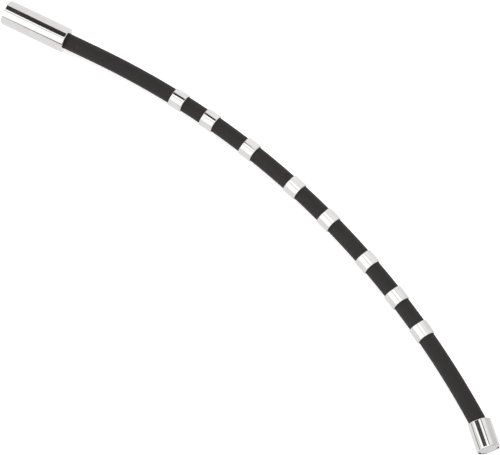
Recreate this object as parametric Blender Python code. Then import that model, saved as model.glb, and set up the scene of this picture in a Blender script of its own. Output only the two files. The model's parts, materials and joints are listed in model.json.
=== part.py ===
"""Rubber cord bracelet with eight steel rings and a magnetic plug clasp, lying open in a gentle arc.

Units are metres, +Z up. The bracelet lies flat: one axis runs through every piece, first straight
along +X through the clasp sleeve, then round an arc that turns towards -Y, then straight through
the clasp plug. A station is a distance along that axis, counted from the sleeve's cord mouth. The
cord is held as links that meet at bending points, and each link carries what is fixed on it.
"""

import math

import bmesh
import bpy
from mathutils import Matrix, Vector

MM = 0.001

# Rubber cord
CORD_D = 5.0 * MM
STRAIGHT_LENGTH = 10.0 * MM  # of cord beside the sleeve, which keeps it straight
SLEEVE_HALF_RADIUS = 218.0 * MM  # of the arc that the open bracelet rests in, nearer the sleeve
PLUG_HALF_RADIUS = 233.0 * MM  # and nearer the plug
SET_LENGTH = 1.0 * MM  # of cord inside the plug's mouth, where it has taken a set
SET_ANGLE = math.radians(10.0)  # how far that stretch turns beyond the arc
LINK_GAP = 0.06 * MM  # between the end faces of two links at a bending point

# Bare cord between the sleeve, the rings and the plug, in order from the sleeve
BARE_STRETCHES = (
    37.45 * MM,
    7.15 * MM,
    10.85 * MM,
    13.85 * MM,
    9.95 * MM,
    12.85 * MM,
    9.4 * MM,
    8.0 * MM,
    28.4 * MM,
)
SLEEVE_END_BENDS = 3  # bending points in the first bare stretch
PLUG_END_BENDS = 2  # bending points in the last bare stretch

# Rings pressed onto the cord
RING_LENGTH = 4.5 * MM
RING_WALL = 0.45 * MM
RING_EDGE = 0.2 * MM
RING_CLEARANCE = 0.04 * MM  # on the radius, over the cord

# Clasp plug: a closed cap that holds the cord's end and a disc magnet
PLUG_WALL = 0.825 * MM  # around the cord's seat
PLUG_LENGTH = 8.45 * MM
PLUG_NOSE_EDGE = 0.45 * MM
PLUG_BACK_EDGE = 0.2 * MM
PLUG_NOSE_WALL = 0.6 * MM
LEAD_IN_DEPTH = 2.5 * MM  # of the plug's flared mouth, in which the cord bends

# Clasp sleeve: a tube with the cord's end in one half and the plug's socket in the other
SLEEVE_WALL = 0.5 * MM
SLEEVE_EDGE = 0.25 * MM
SOCKET_CLEARANCE = 0.075 * MM  # on the radius, around the plug
PLUG_PROUD = 0.45 * MM  # of the plug left outside the socket when it is home
PARTITION = 0.8 * MM  # between the socket magnet's seat and the cord's seat
CORD_SEAT_DEPTH = 10.0 * MM
SEAT_CLEARANCE = 0.1 * MM  # on the radius, around the cord's ends, filled by the adhesive
BORE_CHAMFER = 0.12 * MM

# Magnets
MAGNET_THICKNESS = 2.0 * MM
MAGNET_CLEARANCE = 0.05 * MM  # on the radius, in the bore it is glued into
MAGNET_CHAMFER = 0.15 * MM
GLUE_LINE = 0.05 * MM  # between a magnet or a cord end and what it is glued against

# How finely round shapes are divided
TURNED_SEGMENTS = 32
EDGE_STEPS = 3
CORD_SIDES = 16
CORD_STEP = 3.0 * MM  # most that the arc runs between two cross-sections of the cord
SMALLEST_RUN = 0.01 * MM  # a run of cord shorter than this gets no cross-section of its own

# Sizes that follow from the ones above
CORD_R = CORD_D / 2
RING_COUNT = len(BARE_STRETCHES) - 1
RING_BORE_R = CORD_R + RING_CLEARANCE
RING_R = RING_BORE_R + RING_WALL
CORD_SEAT_R = CORD_R + SEAT_CLEARANCE
PLUG_R = CORD_SEAT_R + PLUG_WALL
PLUG_BORE_DEPTH = PLUG_LENGTH - PLUG_NOSE_WALL
PLUG_SEAT_DEPTH = PLUG_BORE_DEPTH - MAGNET_THICKNESS - GLUE_LINE
SOCKET_DEPTH = PLUG_LENGTH - PLUG_PROUD
SOCKET_R = PLUG_R + SOCKET_CLEARANCE
SLEEVE_R = SOCKET_R + SLEEVE_WALL
SOCKET_BORE_DEPTH = SOCKET_DEPTH + MAGNET_THICKNESS + GLUE_LINE
SLEEVE_LENGTH = SOCKET_BORE_DEPTH + PARTITION + CORD_SEAT_DEPTH
BARE_AND_RINGS = sum(BARE_STRETCHES) + RING_COUNT * RING_LENGTH
BEND_END = BARE_AND_RINGS + LEAD_IN_DEPTH
ARC_HALF = (BEND_END - SET_LENGTH - STRAIGHT_LENGTH) / 2
LEAD_IN_R = CORD_R + LEAD_IN_DEPTH * math.tan(SET_ANGLE) + SEAT_CLEARANCE
AXIS_HEIGHT = SLEEVE_R

# The axis from the sleeve's mouth to the last bend, as runs: (length, angle turned through)
RUNS = (
    (STRAIGHT_LENGTH, 0.0),
    (ARC_HALF, ARC_HALF / SLEEVE_HALF_RADIUS),
    (ARC_HALF, ARC_HALF / PLUG_HALF_RADIUS),
    (SET_LENGTH, SET_LENGTH / PLUG_HALF_RADIUS + SET_ANGLE),
)


def clear_scene():
    for obj in list(bpy.data.objects):
        bpy.data.objects.remove(obj, do_unlink=True)


def make_material(name, color, roughness, metallic):
    material = bpy.data.materials.new(name)
    material.use_nodes = True
    shader = material.node_tree.nodes["Principled BSDF"]
    shader.inputs["Base Color"].default_value = (*color, 1.0)
    shader.inputs["Roughness"].default_value = roughness
    shader.inputs["Metallic"].default_value = metallic
    return material


def place_at(station):
    """The axis's frame at a station: X along the axis, Y to its left, Z up."""
    place = Matrix.Identity(4)
    for length, turn in RUNS:
        run = min(max(station, 0), length)
        angle = turn * run / length
        chord = Vector((run, 0, 0))
        if angle > 0:
            radius = length / turn
            chord = Vector((radius * math.sin(angle), radius * (math.cos(angle) - 1), 0))
        place = place @ Matrix.Translation(chord) @ Matrix.Rotation(-angle, 4, "Z")
        station -= run
    return place @ Matrix.Translation((station, 0, 0))


def plug_place(depth):
    """The frame on the plug's own axis, this far in from its mouth."""
    return place_at(BEND_END) @ Matrix.Translation((depth - LEAD_IN_DEPTH, 0, 0))


def rounded(corners):
    """Points of an outline whose corners are (x, radius from the axis, edge radius)."""
    points = []
    for i, (x, r, edge) in enumerate(corners):
        corner = Vector((x, r))
        if edge == 0:
            points.append(corner)
            continue
        before = Vector(corners[i - 1][:2]) - corner
        after = Vector(corners[(i + 1) % len(corners)][:2]) - corner
        before.normalize()
        after.normalize()
        centre = corner + edge * (before + after)
        for step in range(EDGE_STEPS + 1):
            angle = math.pi / 2 * step / EDGE_STEPS
            points.append(centre - edge * (math.sin(angle) * before + math.cos(angle) * after))
    return points


def turned(name, corners, place, closed, material):
    """A piece turned about its local X axis from an outline that is closed or ends on the axis."""
    mesh = bmesh.new()
    outline = [mesh.verts.new((p.x, 0, p.y)) for p in rounded(corners)]
    for first, second in zip(outline, outline[1:]):
        mesh.edges.new((first, second))
    if closed:
        mesh.edges.new((outline[-1], outline[0]))
    bmesh.ops.spin(
        mesh,
        geom=mesh.verts[:] + mesh.edges[:],
        axis=(1, 0, 0),
        cent=(0, 0, 0),
        angle=2 * math.pi,
        steps=TURNED_SEGMENTS,
        use_merge=True,
    )
    bmesh.ops.remove_doubles(mesh, verts=mesh.verts[:], dist=1e-7)
    return finish(name, mesh, place, material)


def swept(name, start, end, material):
    """A round link of the cord from one station to another, with its object at the first."""
    home = place_at(start)
    stations = [start]
    stops = [(0, 0)] + [(sum(run[0] for run in RUNS[: i + 1]), RUNS[i][1]) for i in range(len(RUNS))]
    for stop, turn in stops + [(end, 0)]:
        first = stations[-1]
        span = min(stop, end) - first
        if span > SMALLEST_RUN:
            count = math.ceil(span / CORD_STEP) if turn else 1
            stations += [first + span * (i + 1) / count for i in range(count)]
    mesh = bmesh.new()
    across = Matrix.Rotation(math.pi / 2, 4, "Y")
    rim = bmesh.ops.create_circle(
        mesh, cap_ends=False, segments=CORD_SIDES, radius=CORD_R, matrix=across
    )["verts"]
    edges = list(mesh.edges)
    bmesh.ops.contextual_create(mesh, geom=edges)
    for before, after in zip(stations, stations[1:]):
        made = bmesh.ops.extrude_edge_only(mesh, edges=edges)["geom"]
        rim = [item for item in made if isinstance(item, bmesh.types.BMVert)]
        edges = [item for item in made if isinstance(item, bmesh.types.BMEdge)]
        move = (home.inverted() @ place_at(after)) @ (home.inverted() @ place_at(before)).inverted()
        bmesh.ops.transform(mesh, matrix=move, verts=rim)
    bmesh.ops.contextual_create(mesh, geom=edges)
    return finish(name, mesh, home, material)


def finish(name, mesh, place, material):
    bmesh.ops.recalc_face_normals(mesh, faces=mesh.faces[:])
    data = bpy.data.meshes.new(name)
    mesh.to_mesh(data)
    mesh.free()
    data.shade_smooth()
    data.set_sharp_from_angle(angle=math.radians(35))
    data.materials.append(material)
    obj = bpy.data.objects.new(name, data)
    bpy.context.scene.collection.objects.link(obj)
    obj["place"] = [value for row in place for value in row]
    return obj


def place_of(obj):
    values = list(obj["place"])
    return Matrix([values[i : i + 4] for i in range(0, 16, 4)])


def make_pivot(name, place):
    """An empty on a bending point's axis, which carries a link and what is fixed on it."""
    pivot = bpy.data.objects.new(name, None)
    pivot.empty_display_size = CORD_D
    bpy.context.scene.collection.objects.link(pivot)
    pivot["place"] = [value for row in place for value in row]
    return pivot


def hang_on(parent, child):
    child.parent = parent
    child.matrix_basis = place_of(parent).inverted() @ place_of(child)


def make_sleeve(material):
    """A tube with a partition: the plug's socket at its free end, the cord's seat at the other."""
    socket_end = -SLEEVE_LENGTH
    corners = [
        (socket_end + SOCKET_BORE_DEPTH, 0, 0),
        (socket_end + SOCKET_BORE_DEPTH, SOCKET_R, 0),
        (socket_end, SOCKET_R, BORE_CHAMFER),
        (socket_end, SLEEVE_R, SLEEVE_EDGE),
        (0, SLEEVE_R, SLEEVE_EDGE),
        (0, CORD_SEAT_R, BORE_CHAMFER),
        (-CORD_SEAT_DEPTH, CORD_SEAT_R, 0),
        (-CORD_SEAT_DEPTH, 0, 0),
    ]
    return turned("clasp_sleeve", corners, place_at(0), False, material)


def make_plug(material):
    """A cap with a closed rounded nose, bored from its flared mouth for the magnet and the cord."""
    corners = [
        (PLUG_BORE_DEPTH, 0, 0),
        (PLUG_BORE_DEPTH, CORD_SEAT_R, 0),
        (LEAD_IN_DEPTH, CORD_SEAT_R, 0),
        (0, LEAD_IN_R, 0),
        (0, PLUG_R, PLUG_BACK_EDGE),
        (PLUG_LENGTH, PLUG_R, PLUG_NOSE_EDGE),
        (PLUG_LENGTH, 0, 0),
    ]
    return turned("clasp_plug", corners, plug_place(0), False, material)


def make_magnet(name, place, bore_radius, material):
    """A disc magnet glued into a blind bore, with the middle of its first face at a place."""
    radius = bore_radius - MAGNET_CLEARANCE
    corners = [
        (0, 0, 0),
        (0, radius, MAGNET_CHAMFER),
        (MAGNET_THICKNESS, radius, MAGNET_CHAMFER),
        (MAGNET_THICKNESS, 0, 0),
    ]
    return turned(name, corners, place, False, material)


def make_ring(name, centre, material):
    half = RING_LENGTH / 2
    corners = [
        (-half, RING_BORE_R, BORE_CHAMFER),
        (-half, RING_R, RING_EDGE),
        (half, RING_R, RING_EDGE),
        (half, RING_BORE_R, BORE_CHAMFER),
    ]
    return turned(name, corners, place_at(centre), True, material)


def ring_centres():
    """Each ring's station, halfway between the bare stretches on its two sides."""
    centres = []
    station = 0
    for stretch in BARE_STRETCHES[:-1]:
        station += stretch
        centres.append(station + RING_LENGTH / 2)
        station += RING_LENGTH
    return centres


def bending_points():
    """Stations where the links meet: shared out evenly along each bare stretch."""
    points = []
    station = 0
    counts = [SLEEVE_END_BENDS] + [1] * (RING_COUNT - 1) + [PLUG_END_BENDS]
    for stretch, count in zip(BARE_STRETCHES, counts):
        points += [station + stretch * (i + 0.5) / count for i in range(count)]
        station += stretch + RING_LENGTH
    return points


def build():
    clear_scene()
    steel = make_material("polished_steel", (0.78, 0.78, 0.77), 0.08, 1.0)
    rubber = make_material("black_rubber", (0.035, 0.034, 0.033), 0.6, 0.0)
    nickel = make_material("nickel_plate", (0.62, 0.60, 0.57), 0.22, 1.0)

    bends = bending_points()
    pivots = [make_pivot("clasp_sleeve_frame", place_at(0))]
    for number, station in enumerate(bends, 1):
        pivots.append(make_pivot(f"bend_{number:02d}_axis", place_at(station)))
        hang_on(pivots[-2], pivots[-1])

    cord_start = GLUE_LINE - CORD_SEAT_DEPTH
    cord_end = BEND_END - LEAD_IN_DEPTH + PLUG_SEAT_DEPTH - GLUE_LINE
    starts = [cord_start] + [station + LINK_GAP / 2 for station in bends]
    ends = [station - LINK_GAP / 2 for station in bends] + [cord_end]
    for number, (pivot, start, end) in enumerate(zip(pivots, starts, ends), 1):
        hang_on(pivot, swept(f"cord_link_{number:02d}", start, end, rubber))

    for number, centre in enumerate(ring_centres(), 1):
        carrier = pivots[sum(station < centre for station in bends)]
        hang_on(carrier, make_ring(f"ring_{number}", centre, steel))

    hang_on(pivots[0], make_sleeve(steel))
    socket_seat = place_at(SOCKET_DEPTH - SLEEVE_LENGTH)
    hang_on(pivots[0], make_magnet("socket_magnet", socket_seat, SOCKET_R, nickel))
    hang_on(pivots[-1], make_plug(steel))
    plug_seat = plug_place(PLUG_SEAT_DEPTH)
    hang_on(pivots[-1], make_magnet("plug_magnet", plug_seat, CORD_SEAT_R, nickel))
    centre_over_origin(pivots[0])


def centre_over_origin(root):
    """Moves the whole bracelet so that the middle of its footprint is at the origin."""
    bpy.context.view_layer.update()
    corners = [
        obj.matrix_world @ vertex.co
        for obj in bpy.context.scene.objects
        if obj.type == "MESH"
        for vertex in obj.data.vertices
    ]
    middle_x = (min(c.x for c in corners) + max(c.x for c in corners)) / 2
    middle_y = (min(c.y for c in corners) + max(c.y for c in corners)) / 2
    root.location = (-middle_x, -middle_y, AXIS_HEIGHT)


build()
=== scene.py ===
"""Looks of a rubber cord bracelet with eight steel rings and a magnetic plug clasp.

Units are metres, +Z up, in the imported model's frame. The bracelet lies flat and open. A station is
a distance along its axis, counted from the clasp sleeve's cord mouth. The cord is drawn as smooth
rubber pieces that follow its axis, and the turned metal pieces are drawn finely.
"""

import json
import math

import bmesh
import bpy
from mathutils import Matrix, Vector


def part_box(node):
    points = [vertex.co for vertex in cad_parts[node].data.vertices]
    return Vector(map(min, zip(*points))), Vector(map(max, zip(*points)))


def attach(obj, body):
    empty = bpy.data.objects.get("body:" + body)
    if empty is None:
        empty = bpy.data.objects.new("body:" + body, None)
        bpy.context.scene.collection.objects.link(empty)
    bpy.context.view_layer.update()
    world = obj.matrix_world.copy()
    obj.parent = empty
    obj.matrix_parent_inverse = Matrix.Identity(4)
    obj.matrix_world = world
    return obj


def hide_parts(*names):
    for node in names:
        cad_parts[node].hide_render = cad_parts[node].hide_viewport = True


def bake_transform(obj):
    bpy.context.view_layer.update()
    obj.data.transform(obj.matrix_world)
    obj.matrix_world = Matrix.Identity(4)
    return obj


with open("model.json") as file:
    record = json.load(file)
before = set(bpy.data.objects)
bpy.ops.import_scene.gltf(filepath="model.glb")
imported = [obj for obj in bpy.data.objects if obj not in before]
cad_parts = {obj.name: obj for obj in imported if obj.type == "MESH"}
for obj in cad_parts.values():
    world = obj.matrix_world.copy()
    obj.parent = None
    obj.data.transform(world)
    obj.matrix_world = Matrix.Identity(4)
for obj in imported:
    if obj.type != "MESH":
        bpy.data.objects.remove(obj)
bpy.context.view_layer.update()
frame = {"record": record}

MM = 0.001

# The sizes down to the magnets are the CAD model's own.
# Rubber cord and the axis that it lies on
CORD_R = 2.5 * MM
STRAIGHT_LENGTH = 10.0 * MM
SLEEVE_HALF_RADIUS = 218.0 * MM
PLUG_HALF_RADIUS = 233.0 * MM
SET_LENGTH = 1.0 * MM
SET_ANGLE = math.radians(10.0)
BARE_STRETCHES = [MM * run for run in (37.45, 7.15, 10.85, 13.85, 9.95, 12.85, 9.4, 8.0, 28.4)]
BENDS_IN_STRETCH = (3, 1, 1, 1, 1, 1, 1, 1, 2)

# Rings
RING_LENGTH = 4.5 * MM
RING_BORE_R = CORD_R + 0.04 * MM
RING_R = RING_BORE_R + 0.45 * MM
RING_EDGE = 0.2 * MM

# Clasp plug
PLUG_R = 3.425 * MM
PLUG_LENGTH = 8.45 * MM
PLUG_NOSE_EDGE = 0.45 * MM
PLUG_BACK_EDGE = 0.2 * MM
PLUG_BORE_DEPTH = PLUG_LENGTH - 0.6 * MM
LEAD_IN_DEPTH = 2.5 * MM

# Clasp sleeve
SOCKET_R = PLUG_R + 0.075 * MM
SLEEVE_R = SOCKET_R + 0.5 * MM
SLEEVE_EDGE = 0.25 * MM
SLEEVE_LENGTH = 20.85 * MM
SOCKET_DEPTH = PLUG_LENGTH - 0.45 * MM
SEAT_DEPTH = 10.0 * MM
SEAT_R = CORD_R + 0.1 * MM
BORE_CHAMFER = 0.12 * MM

# Magnets and the adhesive that holds them and the cord
MAGNET_THICKNESS = 2.0 * MM
MAGNET_CHAMFER = 0.15 * MM
MAGNET_CLEARANCE = 0.05 * MM
GLUE_LINE = 0.05 * MM
GLUE_SINK = 0.35 * MM  # from a mouth down to the adhesive

# How finely the pieces are drawn
ROUND_SIDES = 128
EDGE_STEPS = 6
EDGE_SUPPORT = 0.03 * MM  # from a rounded edge to the line that keeps the flat beside it flat
CORD_SIDES = 56
CORD_STEP = 0.5 * MM
BEND_UNDER_RING = 2.0 * MM  # how far a bend reaches in under a ring
WEAR_REACH = 0.9 * MM  # how far from its ends a metal piece is rubbed

# Camera, placed from the sleeve's cord mouth
CAMERA_PLACE = Vector((96.7, -245.7, 339.9)) * MM
CAMERA_AZIMUTH = math.radians(95.26)
CAMERA_DOWN = math.radians(57.79)
CAMERA_ROLL = math.radians(21.22)
CAMERA_LENS = 98.32

# Studio light
WALL_LEVEL = 1.14
SOFTBOX_LEVEL = 1.5
CORNER_LEVEL = 0.82  # of the tent's darker parts
FLOOR_GLOW = 0.55  # lifts the sheet to white round the bracelet
FLOOR_MIRRORED = 1.04
FLOOR_R = 1.6

# Cards that only the polished steel mirrors
CARD_HEIGHT = 250 * MM  # of the one over the sleeve
CARD_OVER_SLEEVE = ((-102, -58), (-66, -86), (-13, -20), (15, -12), (15, 80), (-60, 100), (-102, 120))
ABOVE_SHEET = 0.1 * MM  # of the cards that lie in front of the plug
SEEN_AHEAD = 0.298  # per height, how far ahead of the plug's end face the camera sees the sheet in it
SEEN_ASIDE = 0.484  # and how far to the side
RIM_INSIDE = 2.5 * MM  # of the painted contact shadow, the dark arcs on the sheet that the end face mirrors as its darker rim
RIM_OUTSIDE = 3.6 * MM
RIM_STEPS = 8

# Sizes that follow from the ones above
RING_COUNT = len(BARE_STRETCHES) - 1
CORD_SHOWN = sum(BARE_STRETCHES) + RING_COUNT * RING_LENGTH
BEND_END = CORD_SHOWN + LEAD_IN_DEPTH
ARC_HALF = (BEND_END - SET_LENGTH - STRAIGHT_LENGTH) / 2
LEAD_IN_R = CORD_R + LEAD_IN_DEPTH * math.tan(SET_ANGLE) + 0.1 * MM
PLUG_SEAT_DEPTH = PLUG_BORE_DEPTH - MAGNET_THICKNESS - GLUE_LINE
SOCKET_BORE_DEPTH = SOCKET_DEPTH + MAGNET_THICKNESS + GLUE_LINE
RUNS = (
    (STRAIGHT_LENGTH, 0.0),
    (ARC_HALF, ARC_HALF / SLEEVE_HALF_RADIUS),
    (ARC_HALF, ARC_HALF / PLUG_HALF_RADIUS),
    (SET_LENGTH, SET_LENGTH / PLUG_HALF_RADIUS + SET_ANGLE),
)
sleeve_low, sleeve_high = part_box("clasp_sleeve")
HOME = Vector((sleeve_high.x, (sleeve_low.y + sleeve_high.y) / 2, (sleeve_low.z + sleeve_high.z) / 2))


def place_at(station):
    """The axis's frame at a station: X along the axis, Y to its left, Z up."""
    place = Matrix.Translation(HOME)
    for length, turn in RUNS:
        run = min(max(station, 0), length)
        angle = turn * run / length
        chord = Vector((run, 0, 0))
        if angle > 0:
            radius = length / turn
            chord = Vector((radius * math.sin(angle), radius * (math.cos(angle) - 1), 0))
        place = place @ Matrix.Translation(chord) @ Matrix.Rotation(-angle, 4, "Z")
        station -= run
    return place @ Matrix.Translation((station, 0, 0))


def plug_place(depth):
    """The frame on the plug's own axis, this far in from its mouth."""
    return place_at(BEND_END) @ Matrix.Translation((depth - LEAD_IN_DEPTH, 0, 0))


# ---------------------------------------------------------------- shader nodes


class Wire:
    """A node's output, on which arithmetic adds Math nodes."""

    def __init__(self, nodes, socket):
        self.nodes = nodes
        self.socket = socket

    def math(self, operation, first, second):
        return self.nodes.node("ShaderNodeMath", {"operation": operation}, {0: first, 1: second})

    def at_least(self, level):
        return self.math("MAXIMUM", self, level)

    def __add__(self, other):
        return self.math("ADD", self, other)

    __radd__ = __add__

    def __sub__(self, other):
        return self.math("SUBTRACT", self, other)

    def __rsub__(self, other):
        return self.math("SUBTRACT", other, self)

    def __mul__(self, other):
        return self.math("MULTIPLY", self, other)

    __rmul__ = __mul__


class Nodes:
    """The nodes of a material or of the studio round it, and the shader that they feed."""

    def __init__(self, owner, shader, constants):
        owner.use_nodes = True
        self.owner = owner
        self.tree = owner.node_tree
        self.shader = self.tree.nodes[shader]
        self.fill(self.shader, constants)

    def fill(self, node, values):
        for key, value in values.items():
            if isinstance(value, Wire):
                self.tree.links.new(value.socket, node.inputs[key])
            else:
                node.inputs[key].default_value = value

    def node(self, kind, settings, values, output=0):
        made = self.tree.nodes.new(kind)
        for key, value in settings.items():
            if key == "stops":
                stops = made.color_ramp.elements
                while len(stops) < len(value):
                    stops.new(1.0)
                for stop, (position, level) in zip(stops, value):
                    stop.position = position
                    stop.color = (level, level, level, 1.0)
            else:
                setattr(made, key, value)
        self.fill(made, values)
        return Wire(self, made.outputs[output])

    def attribute(self, name, output):
        return self.node("ShaderNodeAttribute", {"attribute_name": name}, {}, output)

    def stretched(self, place, scale):
        """A place whose three directions are scaled, in features per metre."""
        return self.node("ShaderNodeMapping", {}, {"Vector": place, "Scale": scale})

    def noise(self, place, detail=2.0, rough=0.5):
        values = {"Vector": place, "Scale": 1.0, "Detail": detail, "Roughness": rough}
        return self.node("ShaderNodeTexNoise", {}, values)

    def ramp(self, value, *stops):
        return self.node("ShaderNodeValToRGB", {"stops": stops}, {"Fac": value})

    def blend(self, share, first, second):
        """Two colours mixed by a share."""
        values = {0: share, 6: first, 7: second}
        return self.node("ShaderNodeMix", {"data_type": "RGBA"}, values, 2)

    def bump(self, height, distance, below=None):
        values = {"Height": height, "Distance": distance, "Strength": 1.0}
        if below is not None:
            values["Normal"] = below
        return self.node("ShaderNodeBump", {}, values)


def finish(name, constants):
    return Nodes(bpy.data.materials.new(name), "Principled BSDF", constants)


def make_rubber():
    """Extruded black rubber: fine matt grain, faint lines along it, paler scuffs and specks of dust."""
    rubber = finish("matt_black_rubber", {"Specular IOR Level": 0.3})
    place = rubber.attribute("cord_place", "Vector")
    grain = rubber.noise(rubber.stretched(place, (5200, 5200, 5200)), 3.0, 0.6)
    lines = rubber.noise(rubber.stretched(place, (120, 2600, 2600)), 2.0)
    cloud = rubber.noise(rubber.stretched(place, (170, 260, 260)), 3.0)
    scuff = rubber.noise(rubber.stretched(place, (420, 900, 900)), 4.0, 0.7)
    scuff = rubber.ramp(scuff, (0.56, 0), (0.74, 1))
    dust = rubber.noise(rubber.stretched(place, (3600, 3600, 3600)), 1.0)
    dust = rubber.ramp(dust, (0.73, 0), (0.79, 1))
    tone = rubber.blend(cloud, (0.0145, 0.0128, 0.0123, 1), (0.0205, 0.0184, 0.018, 1))
    tone = rubber.blend(scuff * 0.35, tone, (0.034, 0.032, 0.031, 1))
    tone = rubber.blend(dust * 0.5, tone, (0.16, 0.155, 0.15, 1))
    height = grain * 0.6 + lines * 0.4
    rubber.fill(
        rubber.shader,
        {
            "Base Color": tone,
            "Roughness": 0.58 + grain * 0.12 + scuff * 0.1,
            "Normal": rubber.bump(height, 0.012 * MM),
        },
    )
    return rubber.owner


def make_steel():
    """Mirror polished steel: faint lines round it, wiping marks, rubbed ends and a duller bore."""
    steel = finish("polished_steel_finish", {"Metallic": 1.0})
    place = steel.attribute("turned_place", "Vector")
    wear = steel.attribute("rubbed", "Fac")
    bore = steel.attribute("bored", "Fac")
    turning = steel.noise(steel.stretched(place, (9000, 60, 60)), 3.0, 0.7)
    wiping = steel.noise(steel.stretched(place, (260, 1400, 1400)), 4.0, 0.65)
    hairs = steel.ramp(steel.noise(steel.stretched(place, (700, 5200, 1100)), 2.0), (0.66, 0), (0.72, 1))
    film = steel.ramp(steel.noise(steel.stretched(place, (330, 330, 330)), 3.0), (0.42, 0), (0.68, 1))
    tone = steel.blend(film, (0.715, 0.71, 0.703, 1), (0.68, 0.67, 0.662, 1))
    tone = steel.blend(wear * wiping * 0.4, tone, (0.6, 0.595, 0.59, 1))
    tone = steel.blend(bore * 0.6, tone, (0.5, 0.49, 0.48, 1))
    rough = 0.035 + film * 0.025 + hairs * 0.08 + wear * wiping * 0.12 + bore * (0.16 + turning * 0.2)
    lines = steel.bump(turning, 0.00022 * MM)
    steel.fill(
        steel.shader,
        {
            "Base Color": tone,
            "Roughness": rough,
            "Normal": steel.bump(wiping * 0.6 + hairs * 0.4, 0.0006 * MM, lines),
        },
    )
    return steel.owner


def make_nickel():
    """Satin nickel plating on a magnet: fine pits, a cloudy tarnish and rubbed rims."""
    nickel = finish("nickel_plate_finish", {"Metallic": 1.0})
    place = nickel.attribute("turned_place", "Vector")
    wear = nickel.attribute("rubbed", "Fac")
    pits = nickel.noise(nickel.stretched(place, (4200, 4200, 4200)), 3.0, 0.6)
    tarnish = nickel.noise(nickel.stretched(place, (520, 520, 520)), 4.0, 0.6)
    tarnish = nickel.ramp(tarnish, (0.35, 0), (0.7, 1))
    tone = nickel.blend(tarnish, (0.66, 0.635, 0.60, 1), (0.52, 0.49, 0.45, 1))
    tone = nickel.blend(wear * 0.4, tone, (0.74, 0.72, 0.69, 1))
    values = {"Base Color": tone, "Roughness": 0.2 + tarnish * 0.12 + pits * 0.08}
    values["Normal"] = nickel.bump(pits, 0.002 * MM)
    nickel.fill(nickel.shader, values)
    return nickel.owner


def make_adhesive():
    """Cured adhesive: smoky, glossy, with small bubbles and a slightly wavy top."""
    adhesive = finish("cured_adhesive", {"Specular IOR Level": 0.5})
    place = adhesive.attribute("turned_place", "Vector")
    waves = adhesive.noise(adhesive.stretched(place, (900, 900, 900)), 2.0)
    bubbles = adhesive.noise(adhesive.stretched(place, (5200, 5200, 5200)), 1.0)
    bubbles = adhesive.ramp(bubbles, (0.62, 0), (0.7, 1))
    tone = adhesive.blend(waves, (0.03, 0.029, 0.027, 1), (0.06, 0.057, 0.05, 1))
    tone = adhesive.blend(bubbles * 0.5, tone, (0.2, 0.19, 0.17, 1))
    values = {"Base Color": tone, "Roughness": 0.18 + bubbles * 0.2}
    values["Normal"] = adhesive.bump(waves * 0.8 + bubbles * 0.2, 0.03 * MM)
    adhesive.fill(adhesive.shader, values)
    return adhesive.owner


def make_paper():
    """The pale matt sheet that the bracelet lies on."""
    constants = {"Specular IOR Level": 0.0, "Roughness": 1.0, "Emission Strength": FLOOR_GLOW}
    paper = finish("pale_sheet", constants)
    place = paper.node("ShaderNodeTexCoord", {}, {}, "Object")
    fibre = paper.noise(paper.stretched(place, (60, 60, 60)), 4.0)
    tone = paper.blend(fibre, (0.925, 0.925, 0.925, 1), (0.945, 0.945, 0.943, 1))
    paper.fill(paper.shader, {"Base Color": tone, "Emission Color": tone})
    return paper.owner


# ---------------------------------------------------------------- turned metal


def rounded(corners):
    """Points of an outline whose corners are (x, radius from the axis, edge radius)."""
    points = []
    for i, (x, r, edge) in enumerate(corners):
        corner = Vector((x, r))
        if edge == 0:
            points.append(corner)
            continue
        before = Vector(corners[i - 1][:2]) - corner
        after = Vector(corners[(i + 1) % len(corners)][:2]) - corner
        before.normalize()
        after.normalize()
        centre = corner + edge * (before + after)
        points.append(corner + (edge + EDGE_SUPPORT) * before)
        for step in range(EDGE_STEPS + 1):
            angle = math.pi / 2 * step / EDGE_STEPS
            points.append(centre - edge * (math.sin(angle) * before + math.cos(angle) * after))
        points.append(corner + (edge + EDGE_SUPPORT) * after)
    return points


def turn_piece(name, corners, place, station, closed, material, bored_below=0.0):
    """A piece turned about its own X axis, with its surface marked for the finish.

    Its surface keeps the place that it has on the lathe, how near it is to a rubbed end, and
    whether it is inside a bore.
    """
    mesh = bmesh.new()
    outline = [mesh.verts.new((p.x, 0, p.y)) for p in rounded(corners)]
    for first, second in zip(outline, outline[1:]):
        mesh.edges.new((first, second))
    if closed:
        mesh.edges.new((outline[-1], outline[0]))
    bmesh.ops.spin(
        mesh,
        geom=mesh.verts[:] + mesh.edges[:],
        axis=(1, 0, 0),
        cent=(0, 0, 0),
        angle=2 * math.pi,
        steps=ROUND_SIDES,
        use_merge=True,
    )
    bmesh.ops.remove_doubles(mesh, verts=mesh.verts[:], dist=1e-7)
    bmesh.ops.recalc_face_normals(mesh, faces=mesh.faces[:])
    own = mesh.verts.layers.float_vector.new("turned_place")
    rubbed = mesh.verts.layers.float.new("rubbed")
    bored = mesh.verts.layers.float.new("bored")
    ends = (min(v.co.x for v in mesh.verts), max(v.co.x for v in mesh.verts))
    for vertex in mesh.verts:
        x, y, z = vertex.co
        vertex[own] = (x + station, y, z)
        reach = min(x - ends[0], ends[1] - x) / WEAR_REACH
        vertex[rubbed] = max(0.0, 1 - reach) ** 2
        inside = math.hypot(y, z) < bored_below and ends[0] + BORE_CHAMFER < x < ends[1] - BORE_CHAMFER
        vertex[bored] = float(inside)
    bmesh.ops.transform(mesh, matrix=place, verts=mesh.verts[:])
    return finish_piece(name, mesh, material, 35)


def finish_piece(name, mesh, material, sharp_degrees):
    data = bpy.data.meshes.new(name)
    mesh.to_mesh(data)
    mesh.free()
    data.shade_smooth()
    data.set_sharp_from_angle(angle=math.radians(sharp_degrees))
    data.materials.append(material)
    obj = bpy.data.objects.new(name, data)
    bpy.context.scene.collection.objects.link(obj)
    return obj


def stand_for(obj, body, slot, *nodes):
    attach(obj, body)
    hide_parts(*nodes)


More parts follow.
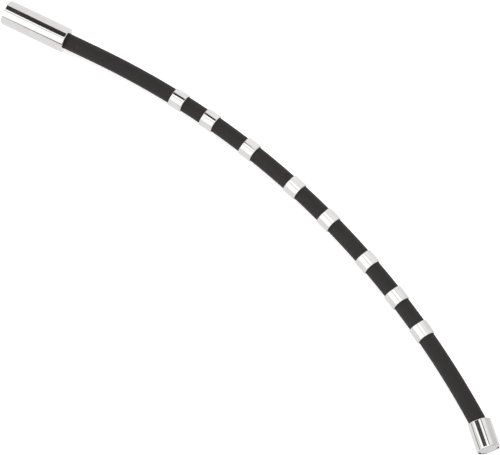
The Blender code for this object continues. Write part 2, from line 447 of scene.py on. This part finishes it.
def make_sleeve(steel):
    socket_end = -SLEEVE_LENGTH
    corners = [
        (socket_end + SOCKET_BORE_DEPTH, 0, 0),
        (socket_end + SOCKET_BORE_DEPTH, SOCKET_R, 0),
        (socket_end, SOCKET_R, BORE_CHAMFER),
        (socket_end, SLEEVE_R, SLEEVE_EDGE),
        (0, SLEEVE_R, SLEEVE_EDGE),
        (0, SEAT_R, BORE_CHAMFER),
        (-SEAT_DEPTH, SEAT_R, 0),
        (-SEAT_DEPTH, 0, 0),
    ]
    bored_below = SOCKET_R + 0.01 * MM
    sleeve = turn_piece("steel_sleeve", corners, place_at(0), 0, False, steel, bored_below)
    stand_for(sleeve, "sleeve_half", "polished_steel", "clasp_sleeve")


def make_plug(steel):
    corners = [
        (PLUG_BORE_DEPTH, 0, 0),
        (PLUG_BORE_DEPTH, SEAT_R, 0),
        (LEAD_IN_DEPTH, SEAT_R, 0),
        (0, LEAD_IN_R, 0),
        (0, PLUG_R, PLUG_BACK_EDGE),
        (PLUG_LENGTH, PLUG_R, PLUG_NOSE_EDGE),
        (PLUG_LENGTH, 0, 0),
    ]
    bored_below = LEAD_IN_R - 0.01 * MM
    plug = turn_piece("steel_plug", corners, plug_place(0), CORD_SHOWN, False, steel, bored_below)
    stand_for(plug, "plug_half", "polished_steel", "clasp_plug")


def make_ring(number, centre, steel):
    half = RING_LENGTH / 2
    corners = [
        (-half, RING_BORE_R, BORE_CHAMFER),
        (-half, RING_R, RING_EDGE),
        (half, RING_R, RING_EDGE),
        (half, RING_BORE_R, BORE_CHAMFER),
    ]
    bored_below = RING_BORE_R + 0.01 * MM
    ring = turn_piece(f"steel_ring_{number}", corners, place_at(centre), centre, True, steel, bored_below)
    stand_for(ring, f"ring_{number}_link", "polished_steel", f"ring_{number}")


def make_magnet(name, node, body, place, bore_r, nickel):
    radius = bore_r - MAGNET_CLEARANCE
    corners = [
        (0, 0, 0),
        (0, radius, MAGNET_CHAMFER),
        (MAGNET_THICKNESS, radius, MAGNET_CHAMFER),
        (MAGNET_THICKNESS, 0, 0),
    ]
    magnet = turn_piece(name, corners, place, 0, False, nickel)
    stand_for(magnet, body, "nickel_plate", node)


def make_glue(name, body, place, length, inner_r, outer_r, adhesive):
    """A thin ring of adhesive in the clearance round a magnet or a cord end."""
    edge = 0.3 * (outer_r - inner_r)
    corners = [(0, inner_r, edge), (0, outer_r, edge), (length, outer_r, edge), (length, inner_r, edge)]
    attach(turn_piece(name, corners, place, 0, True, adhesive), body)


# ---------------------------------------------------------------- rubber cord


def make_cord_piece(number, start, bend, end, nodes, rubber):
    """A smooth length of cord that follows the axis from one station to another, its ends closed and
    sharp.
    """
    count = math.ceil((end - start) / CORD_STEP)
    stations = [start + (end - start) * i / count for i in range(count + 1)]
    mesh = bmesh.new()
    own = mesh.verts.layers.float_vector.new("cord_place")
    across = place_at(start) @ Matrix.Rotation(math.pi / 2, 4, "Y")
    rim = bmesh.ops.create_circle(
        mesh, cap_ends=False, segments=CORD_SIDES, radius=CORD_R, matrix=across
    )["verts"]
    edges = list(mesh.edges)
    bmesh.ops.contextual_create(mesh, geom=edges)
    mark(rim, own, start)
    for before, after in zip(stations, stations[1:]):
        made = bmesh.ops.extrude_edge_only(mesh, edges=edges)["geom"]
        rim = [item for item in made if isinstance(item, bmesh.types.BMVert)]
        edges = [item for item in made if isinstance(item, bmesh.types.BMEdge)]
        move = place_at(after) @ place_at(before).inverted()
        bmesh.ops.transform(mesh, matrix=move, verts=rim)
        mark(rim, own, after)
    bmesh.ops.contextual_create(mesh, geom=edges)
    bmesh.ops.recalc_face_normals(mesh, faces=mesh.faces[:])
    piece = finish_piece(f"rubber_cord_{number:02d}", mesh, rubber, 60)
    low, high = bend
    place_at(low).translation
    place_at(high).translation
    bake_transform(piece)
    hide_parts(*nodes)


def mark(rim, own, station):
    """Keeps, for the finish, where these points are on the cord when it is straight."""
    home = place_at(station).inverted()
    for vertex in rim:
        local = home @ vertex.co
        vertex[own] = (station, local.y, local.z)


def make_cord(rubber):
    """One piece of cord for each bending point, with seams inside rings or midway between bends."""
    bodies = list(frame["record"]["behaviour"]["bodies"])
    starts, bends, station = [], [], 0
    for number, (stretch, count) in enumerate(zip(BARE_STRETCHES, BENDS_IN_STRETCH)):
        share = stretch / count
        for i in range(count):
            first = station + share * i
            starts.append(first if i else station - RING_LENGTH / 2)
            after_ring = i == 0 and number > 0
            before_ring = i == count - 1 and number < RING_COUNT
            low = first - BEND_UNDER_RING * after_ring
            high = first + share + BEND_UNDER_RING * before_ring
            bends.append((low, high))
        station += stretch + RING_LENGTH
    starts[0] = GLUE_LINE - SEAT_DEPTH
    cord_end = CORD_SHOWN + PLUG_SEAT_DEPTH - GLUE_LINE
    for number, (start, bend, end) in enumerate(zip(starts, bends, starts[1:] + [cord_end]), 1):
        nodes = [f"cord_link_{number:02d}"] + (["cord_link_13"] if end == cord_end else [])
        pair = (bodies[number - 1], bodies[number])
        make_cord_piece(number, start, bend, end, nodes, rubber)


# ---------------------------------------------------------------- floor, light and camera


def make_floor(paper):
    """A brightly lit pale sheet, and the evener sheet that the polished steel mirrors."""
    mesh = bmesh.new()
    bmesh.ops.create_circle(mesh, cap_ends=True, segments=96, radius=FLOOR_R)
    floor = finish_piece("floor_sheet", mesh, paper, 30)
    floor.visible_glossy = False
    corners = [(FLOOR_R, 0), (0, FLOOR_R), (-FLOOR_R, 0), (0, -FLOOR_R)]
    make_card("floor_in_steel", [(x, y, -0.1 * MM) for x, y in corners], FLOOR_MIRRORED)


def make_card(name, corners, level):
    """A flat card that shows only in the polished steel, as dark things round a light tent do."""
    mesh = bmesh.new()
    mesh.faces.new([mesh.verts.new(corner) for corner in corners])
    card = finish(name + "_surface", {"Base Color": (0, 0, 0, 1), "Specular IOR Level": 0.0})
    card.fill(card.shader, {"Emission Color": (level, level, level, 1), "Emission Strength": 1.0})
    obj = finish_piece(name, mesh, card.owner, 30)
    show_only_in_gloss(obj)


def show_only_in_gloss(obj):
    obj.visible_camera = False
    obj.visible_diffuse = False
    obj.visible_shadow = False


def make_card_over_sleeve():
    """The dark wedge that the clasp sleeve and the first two rings mirror."""
    corners = [HOME + Vector((x * MM, y * MM, CARD_HEIGHT)) for x, y in CARD_OVER_SLEEVE]
    make_card("card_over_sleeve", corners, 0.045)


def make_cards_beside_plug():
    """Dark cards seen only in the steel, painted reflections of the dark bar and the two thin lines along
    the plug's side; the lowest card lies on the sheet as painted shade.
    """
    plug = plug_place(PLUG_LENGTH / 2)
    along = plug.to_3x3() @ Vector((1, 0, 0))
    before, after = along * -7 * MM, along * 5.5 * MM

    high = plug.translation + Vector((-22.4, -2.3, 39)) * MM
    low = plug.translation + Vector((-36.2, -13.2, 23.2)) * MM
    high = high + (low - high) * 0.1
    wider = (low - high) * 0.4
    corners = [high + before, high + after, low + after + wider * 0.4, low + before + wider]
    make_card("card_by_plug", corners, 0.085)

    line = plug.translation + Vector((-10.9, 6.4, 43.4)) * MM
    half = Vector((2.0, 1.4, 0.3)) * MM
    corners = [line - half + before, line + half + before, line + half + after, line - half + after]
    make_card("card_line_by_plug", corners, 0.1)

    # a dark strip on the sheet, seen only in the steel: painted shade, mirrored as the lower thin line
    # along the plug
    near = plug.translation + Vector((-12.4, -5.2, -3.6)) * MM
    far = plug.translation + Vector((-17.8, -7.6, -3.6)) * MM
    before, after = along * -9 * MM, along * 9 * MM
    corners = [near + before, near + after, far + after, far + before]
    make_card("painted_shade_at_floor", corners, 0.12)


def make_cards_before_plug():
    """Painted reflections for the plug's end face: a greyer patch of painted shade on the sheet ahead of
    it, and two dark arcs of painted contact shadow that the face mirrors as a darker rim.
    """
    nose = plug_place(PLUG_LENGTH)
    sheet = ABOVE_SHEET - HOME.z
    corners = [(0.3 * MM, -7 * MM), (12 * MM, -7 * MM), (12 * MM, 7 * MM), (0.3 * MM, 7 * MM)]
    # a dimmer card on the sheet ahead of the nose, seen only in the steel: painted shade, mirrored in the
    # end face
    make_card("painted_shade_before_plug", [nose @ Vector((x, y, sheet)) for x, y in corners], 0.86)
    # two dark arcs on the sheet, seen only in the steel: painted contact shadow, mirrored as a darker rim
    # of the end face
    for name, first, last in (("left", -80, 12), ("right", 82, 128)):
        angles = [math.radians(first + (last - first) * i / RIM_STEPS) for i in range(RIM_STEPS + 1)]
        inside = [nose @ seen_on_sheet(angle, RIM_INSIDE) for angle in angles]
        outside = [nose @ seen_on_sheet(angle, RIM_OUTSIDE) for angle in reversed(angles)]
        make_card("painted_shadow_rim_" + name, inside + outside, 0.08)


def seen_on_sheet(angle, radius):
    """Where a point of the plug's end face, at an angle from its lowest point, mirrors the sheet."""
    sheet = 1.5 * ABOVE_SHEET - HOME.z
    above = -sheet - radius * math.cos(angle)
    return Vector((SEEN_AHEAD * above, radius * math.sin(angle) + SEEN_ASIDE * above, sheet))


def make_studio():
    """Even white light from all round, brightest from the near left, as inside a light tent."""
    world = bpy.data.worlds.new("studio")
    bpy.context.scene.world = world
    tent = Nodes(world, "Background", {"Color": (1, 1, 1, 1)})
    towards = tent.node("ShaderNodeTexCoord", {}, {}, "Generated")
    x, y, z = [tent.node("ShaderNodeSeparateXYZ", {}, {"Vector": towards}, axis) for axis in "XYZ"]
    wall = (WALL_LEVEL - x * x * 1.6).at_least(CORNER_LEVEL)
    corner = tent.ramp(x - y * 0.47 + 0.5, (0.44, 0), (0.52, 1))
    wall = wall + corner * (CORNER_LEVEL - wall)
    facing = x * -0.5 + y * -0.5 + z * 0.707
    softbox = tent.ramp(facing, (0.69, 0), (0.73, 1))
    edge = tent.ramp(facing, (0.65, 0), (0.665, 1), (0.68, 1), (0.695, 0)) * tent.ramp(y, (0, 0), (0.1, 1))
    seam = tent.node("ShaderNodeMath", {"operation": "COMPARE"}, {0: z, 1: 0.84, 2: 0.022})
    skirting = tent.node("ShaderNodeMath", {"operation": "COMPARE"}, {0: z, 1: 0.06, 2: 0.07})
    skirting = skirting * tent.ramp(x * -1, (0.215, 1), (0.275, 0)) * tent.ramp(y * -1, (0, 0), (0.1, 1))
    level = wall + softbox * (SOFTBOX_LEVEL - wall) - softbox * seam * 0.9 - skirting * 0.9 - edge * 0.25
    tent.fill(tent.shader, {"Strength": level})


def make_camera():
    ahead = Vector(
        (
            math.cos(CAMERA_AZIMUTH) * math.cos(CAMERA_DOWN),
            math.sin(CAMERA_AZIMUTH) * math.cos(CAMERA_DOWN),
            -math.sin(CAMERA_DOWN),
        )
    )
    level_right = ahead.cross(Vector((0, 0, 1))).normalized()
    level_up = level_right.cross(ahead)
    right = math.cos(CAMERA_ROLL) * level_right + math.sin(CAMERA_ROLL) * level_up
    up = right.cross(ahead)
    data = bpy.data.cameras.new("camera")
    data.lens = CAMERA_LENS
    data.sensor_width = 36.0
    data.clip_start = 0.01
    data.clip_end = 20.0
    camera = bpy.data.objects.new("camera", data)
    turn = Matrix((right, up, -ahead)).transposed().to_4x4()
    camera.matrix_world = Matrix.Translation(HOME + CAMERA_PLACE) @ turn
    bpy.context.scene.collection.objects.link(camera)
    bpy.context.scene.camera = camera


def build():
    steel, rubber, nickel, adhesive = make_steel(), make_rubber(), make_nickel(), make_adhesive()
    make_sleeve(steel)
    make_plug(steel)
    station = 0
    for number, stretch in enumerate(BARE_STRETCHES[:-1], 1):
        make_ring(number, station + stretch + RING_LENGTH / 2, steel)
        station += stretch + RING_LENGTH
    make_cord(rubber)

    socket_seat = place_at(SOCKET_DEPTH - SLEEVE_LENGTH)
    make_magnet("sleeve_magnet_disc", "socket_magnet", "sleeve_half", socket_seat, SOCKET_R, nickel)
    plug_seat = plug_place(PLUG_SEAT_DEPTH)
    make_magnet("plug_magnet_disc", "plug_magnet", "plug_half", plug_seat, SEAT_R, nickel)

    depth = SEAT_DEPTH - GLUE_SINK
    make_glue("glue_sleeve_cord", "sleeve_half", place_at(-SEAT_DEPTH), depth, CORD_R, SEAT_R, adhesive)
    depth = PLUG_SEAT_DEPTH - LEAD_IN_DEPTH
    make_glue("glue_plug_cord", "plug_half", plug_place(LEAD_IN_DEPTH), depth, CORD_R, SEAT_R, adhesive)
    around = MAGNET_THICKNESS - GLUE_SINK
    inner = SOCKET_R - MAGNET_CLEARANCE
    glue_start = place_at(SOCKET_DEPTH - SLEEVE_LENGTH + GLUE_SINK)
    make_glue("glue_sleeve_magnet", "sleeve_half", glue_start, around, inner, SOCKET_R, adhesive)
    inner = SEAT_R - MAGNET_CLEARANCE
    make_glue("glue_plug_magnet", "plug_half", plug_seat, around, inner, SEAT_R, adhesive)

    make_floor(make_paper())
    make_card_over_sleeve()
    make_cards_beside_plug()
    make_cards_before_plug()
    make_studio()
    make_camera()
    bpy.context.scene.view_settings.view_transform = "Standard"


build()
